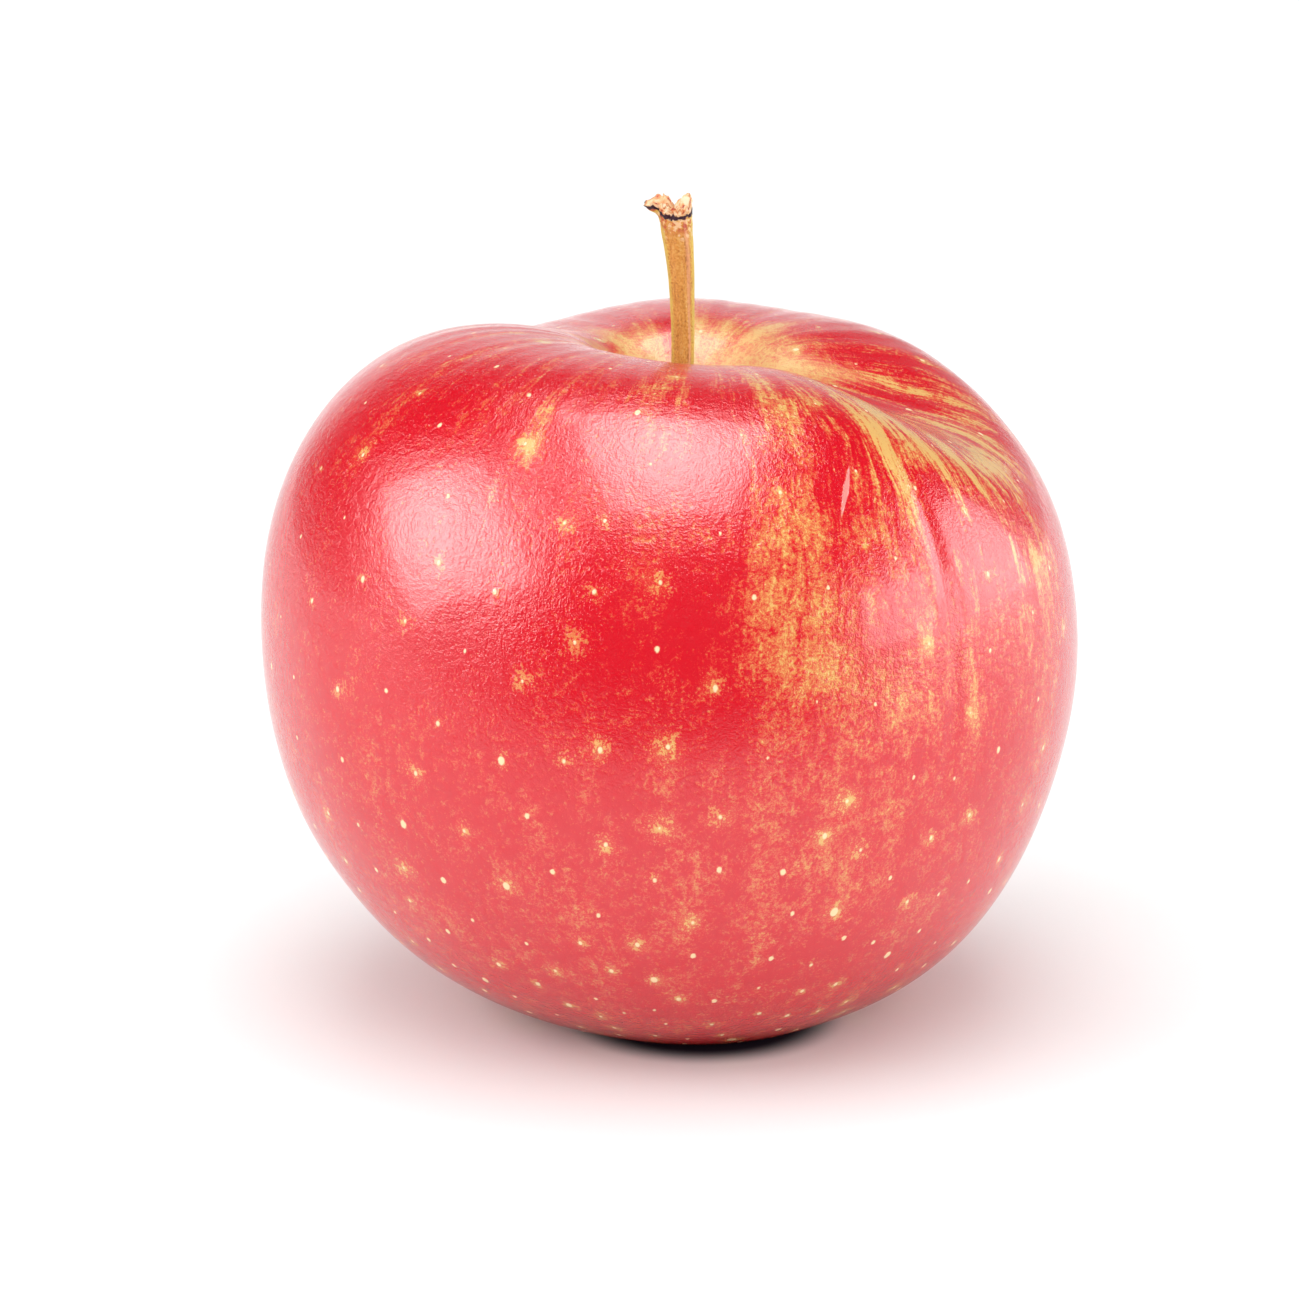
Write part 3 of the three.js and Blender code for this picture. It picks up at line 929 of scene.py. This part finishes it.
def sepal_rings(number, flare, sides=48, rows=44):
    """A thin oval ring carried down a blade: its middle leans in by a sine and curls out by a cube, its
    width tapers by a power, and its edges roll up with the square of the distance sideways."""
    turn, along_blade = np.meshgrid(2 * math.pi * np.arange(sides) / sides, np.linspace(0, 1, rows))
    reach = 3.6 - 0.75 * np.sin(math.pi * along_blade) + flare * along_blade ** 3
    width = 1.75 * (1 - along_blade ** 2.4) ** 0.8 * (0.86 + 0.14 * np.sin(5 * along_blade)) + 0.12
    side = width * np.cos(turn)
    veins = 0.05 * np.cos(3.2 * side) + 0.03 * np.sin(9 * along_blade + 2 * side + number)
    edge_roll = 0.17 * side ** 2 * (0.4 + along_blade)
    thick = (0.16 - 0.08 * along_blade) * np.sin(turn)
    bend = 0.25 * np.sin(2 * number + 4 * along_blade)
    drop = SEPAL_SEAT - SEPAL_DROP * (along_blade - 0.12 * along_blade ** 4)
    blade = np.stack([reach + edge_roll + veins - thick, side + bend, drop], -1)
    centre = FIRST_LOBE + number * LOBE_STEP
    spin = np.array(Matrix.Rotation(-centre, 3, "Z"))
    return blade @ spin + [flower_axis[0], flower_axis[1], 0], along_blade


def sepal_finish():
    """Matt, downy and grey-green at the root, browner towards the dark tip."""
    material, tree, shader = new_material("dried_downy_sepal", Specular_IOR_Level=0.2, Sheen_Weight=0.35,
                                          Sheen_Roughness=0.5)
    space = millimetres(tree)
    down = noise(tree, space, 5.0, 3.0)
    age = noise(tree, space, 0.6, 2.0)
    value = sum_of(tree, (down, 0.12), (age, 0.14), (stored(tree, "toward_tip"), 0.55))
    colour = ramp(tree, value, [
        (0.0, tint(128, 124, 78)),
        (0.4, tint(126, 100, 66)),
        (0.75, tint(86, 60, 40)),
        (1.0, tint(48, 32, 24)),
    ])
    rough = calc(tree, "MULTIPLY_ADD", down, 0.05, 0.85)
    height = sum_of(tree, (down, 0.05), (age, 0.05))
    feed(tree, shader, Base_Color=colour, Roughness=rough, Normal=bump(tree, height))
    return material


sepal_material = sepal_finish()
for number, flare in enumerate(SEPAL_FLARES):
    rings, toward_tip = sepal_rings(number, flare)
    sepal = body_from_rings(f"dried_sepal_{number + 1}", rings, rings[0].mean(0), rings[-1].mean(0))
    give_attribute(sepal, "toward_tip", with_poles(toward_tip, 0, 1))
    finish_piece(sepal, "dried_sepal", sepal_material, f"sepal_{number + 1}")

# %% Stamens
STAMENS = 24
STYLES = 5
THREAD_SIDES = 8
THREAD_ROWS = 16
TUFT_TOP = 11.9


def threads(count, seed, spread, length, thickness, knob):
    """Hanging tubes: each leaves the middle along a sine, swings sideways with the square of its length,
    narrows evenly, and ends in a bell-shaped knob."""
    random = np.random.default_rng(seed)
    heading = 2 * math.pi * (np.arange(count) + random.uniform(-0.3, 0.3, count)) / count
    heading = heading[:, None, None]
    reach = random.uniform(0.35, 1, count)[:, None, None] * spread
    drop = random.uniform(0.75, 1, count)[:, None, None] * length
    swing = random.uniform(-0.35, 0.35, count)[:, None, None]
    way = np.linspace(0, 1, THREAD_ROWS)[None, :, None]
    turn = (2 * math.pi * np.arange(THREAD_SIDES) / THREAD_SIDES)[None, None, :]
    girth = thickness * (1 - 0.35 * way) + knob * bell(way - 0.93, 0.06)
    out = 0.5 + reach * np.sin(1.9 * way) + 0.1 * np.sin(9 * way + heading)
    side = swing * way ** 2
    x = out * np.cos(heading) - side * np.sin(heading) + girth * np.cos(turn)
    y = out * np.sin(heading) + side * np.cos(heading) + girth * np.sin(turn)
    z = TUFT_TOP - drop * way + 0 * turn
    return np.stack([x + flower_axis[0], y + flower_axis[1], z], -1)


stamens = threads(STAMENS, seed=3, spread=1.35, length=6.2, thickness=0.13, knob=0.16)
styles = threads(STYLES, seed=4, spread=0.4, length=5.6, thickness=0.2, knob=0.12)
bundle = np.concatenate([stamens, styles])
thread_points = bundle.reshape(-1, 3)
per_thread = THREAD_ROWS * THREAD_SIDES
first_rings, last_rings = bundle[:, 0].mean(1), bundle[:, -1].mean(1)
quads, caps = [], []
for number in range(len(bundle)):
    start = number * per_thread
    last_ring = start + per_thread - THREAD_SIDES
    top_point = len(thread_points) + number
    quads.append(ring_faces(THREAD_ROWS, THREAD_SIDES, start))
    caps.append(end_faces(start, THREAD_SIDES, top_point, False))
    caps.append(end_faces(last_ring, THREAD_SIDES, top_point + len(bundle), True))
all_points = np.concatenate([thread_points, first_rings, last_rings]) * MM
tuft = mesh_object("stamen_threads", all_points, np.concatenate(quads), np.concatenate(caps))


def stamen_finish():
    """Matt dark brown, paler in places."""
    material, tree, shader = new_material("dried_stamen", Specular_IOR_Level=0.2)
    age = noise(tree, millimetres(tree), 1.3, 2.0)
    colour = ramp(tree, calc(tree, "MULTIPLY_ADD", age, 0.3, 0.5), [
        (0.0, tint(40, 26, 18)),
        (0.6, tint(84, 58, 36)),
        (1.0, tint(134, 104, 66)),
    ])
    feed(tree, shader, Base_Color=colour, Roughness=calc(tree, "MULTIPLY_ADD", age, 0.05, 0.85))
    return material


finish_piece(tuft, "dried_stamen", stamen_finish(), "stamen_tuft")

# %% [markdown]
# Floor
# The floor is plain white. Right under the foot hardly any light arrives, so a contact shadow is painted
# dark on the floor there. Far away it glows as bright as the background, so no edge shows. The wax mirrors
# only the near floor, which is painted darker near the foot as shade in the reflection: beyond the table
# the floor shows black in the wax, which keeps the red deep.

# %% Floor
REACH = 4.0
CONTACT = (0.0035, -0.0065, 0)
# The colour of the painted contact shadow under the foot.
PAINTED_CONTACT_SHADOW = (0.025, 0.016, 0.03, 1)
PAINT = (0.86, 0.89, 0.89, 1)
FLOOR_CORNERS = [(-REACH, -REACH, 0), (REACH, -REACH, 0), (REACH, REACH, 0), (-REACH, REACH, 0)]


def floor_finish():
    """White paint with a painted contact shadow, glowing far away; in mirrors shaded by the foot, black
    beyond.
    """
    material, tree, shader = new_material("pale_floor_paint_and_painted_shadow", Roughness=0.9, Specular_IOR_Level=0.1,
                                          Emission_Color=(1, 1, 1, 1))
    place = node(tree, "ShaderNodeTexCoord").outputs["Object"]
    under = node(tree, "ShaderNodeVectorMath", {0: place, 1: CONTACT}, operation="SUBTRACT").outputs[0]
    distance = node(tree, "ShaderNodeVectorMath", {0: under}, operation="LENGTH").outputs["Value"]
    glow = times(tree, calm(tree, distance, 0.3, 1.4), 0.9)
    # Painted contact shadow: within about 14 mm of the contact the white paint darkens to the shadow
    # colour.
    paint = layered(tree, PAINTED_CONTACT_SHADOW, (calm(tree, distance, 0.0094, 0.0142), PAINT))
    feed(tree, shader, Base_Color=paint, Emission_Strength=glow)
    # Painted shade in the reflection: seen in the wax, the floor is darker near the foot and black beyond
    # the table.
    forward = axes_of(tree, place)["Y"]
    in_shade = calc(tree, "MULTIPLY_ADD", calm(tree, distance, 0.012, 0.04), 0.35, 0.65)
    on_table = times(tree, calm(tree, forward, -0.165, -0.1), in_shade)
    off_table = calc(tree, "SUBTRACT", 1.0, on_table)
    in_mirror = times(tree, off_table, node(tree, "ShaderNodeLightPath").outputs["Is Glossy Ray"])
    painted_dark_reflection = node(tree, "ShaderNodeEmission", {"Strength": 0.0})
    seen = node(tree, "ShaderNodeMixShader", {0: in_mirror, 1: shader.outputs[0], 2: painted_dark_reflection.outputs[0]})
    tree.links.new(seen.outputs[0], tree.nodes["Material Output"].inputs["Surface"])
    return material


floor = mesh_object("pale_floor", np.array(FLOOR_CORNERS), np.array([[0, 1, 2, 3]]), np.zeros((0, 3), int))
floor.data.materials.append(floor_finish())
print("floor, m across:", 2 * REACH)

# %% [markdown]
# Lights
# A glossy apple shows its lamps as bright patches and is lit by them as well. Here the two jobs are split,
# so that a patch can be moved without changing the light on the skin. Four lamps are seen only in the wax:
# a tilted one on the left, two on the right and one overhead. Four others only light the apple and the
# floor. No two stand in the same place, because then one of them would hide the other.

# %% Lamps
def soft_light(name, direction, lift, distance, size, power, roll=0, mirrored=True, lighting=True):
    """A rectangular lamp that faces the apple, from a direction and a height in degrees."""
    heading, lift = math.radians(direction), math.radians(lift)
    level = math.cos(lift)
    away = np.array([math.cos(heading) * level, math.sin(heading) * level, math.sin(lift)])
    lamp = bpy.data.lights.new(name, "AREA")
    lamp.shape = "RECTANGLE"
    lamp.size, lamp.size_y = size
    lamp.energy = power
    made = bpy.data.objects.new(name, lamp)
    made.location = middle + away * distance
    aim = Euler((math.pi / 2 - lift, 0, heading + math.pi / 2)).to_matrix()
    made.rotation_euler = (aim @ Matrix.Rotation(math.radians(roll), 3, "Z")).to_euler()
    made.visible_glossy = mirrored
    made.visible_diffuse = lighting
    bpy.context.scene.collection.objects.link(made)


soft_light("left_mirrored", 197.5, 26.5, 1.05, (0.86, 0.66), 14.2, roll=-42, lighting=False)
soft_light("right_low_mirrored", -17, -1, 1.2, (0.58, 0.55), 6.4, lighting=False)
soft_light("right_high_mirrored", 18, 11, 1.2, (0.62, 0.5), 4.4, lighting=False)
soft_light("top_mirrored", -92, 79, 1.05, (0.69, 1.13), 18.5, lighting=False)
soft_light("left_lighting", 195, 24, 1.0, (0.85, 0.8), 5.4, mirrored=False)
soft_light("right_lighting", 0, 8, 1.2, (1.6, 0.6), 10, mirrored=False)
soft_light("top_lighting", -90, 80, 1.0, (0.7, 1.3), 6, mirrored=False)
soft_light("front_lighting", -85, 25, 1.6, (1.4, 1.0), 8, mirrored=False)
print("lamps, W:", round(sum(lamp.energy for lamp in bpy.data.lights), 1))

# %% [markdown]
# Surroundings
# A white wall behind the apple, weaker on the right, gives its outline a pale veil. For soft light the
# whole room has one even strength, and the camera sees plain white.

# %% Room
AMBIENT = 0.61

world = bpy.data.worlds.new("studio")
bpy.context.scene.world = world
world.use_nodes = True
tree = world.node_tree
background = tree.nodes["Background"]
direction = axes_of(tree, node(tree, "ShaderNodeTexCoord").outputs["Generated"])
shaded_side = calc(tree, "MULTIPLY_ADD", calm(tree, direction["X"], -0.1, 0.3), -0.55, 1.02)
wall = times(tree, calm(tree, direction["Y"], 0.74, 0.96), shaded_side)
ray = node(tree, "ShaderNodeLightPath")
lit = node(tree, "ShaderNodeMix", {0: ray.outputs["Is Diffuse Ray"], 2: wall, 3: AMBIENT}).outputs[0]
strength = node(tree, "ShaderNodeMix", {0: ray.outputs["Is Camera Ray"], 2: lit, 3: 1.0}).outputs[0]
tree.links.new(strength, background.inputs["Strength"])
background.inputs["Color"].default_value = (1, 1, 1, 1)
bpy.context.scene.view_settings.view_transform = "Standard"
print("ambient strength:", AMBIENT)
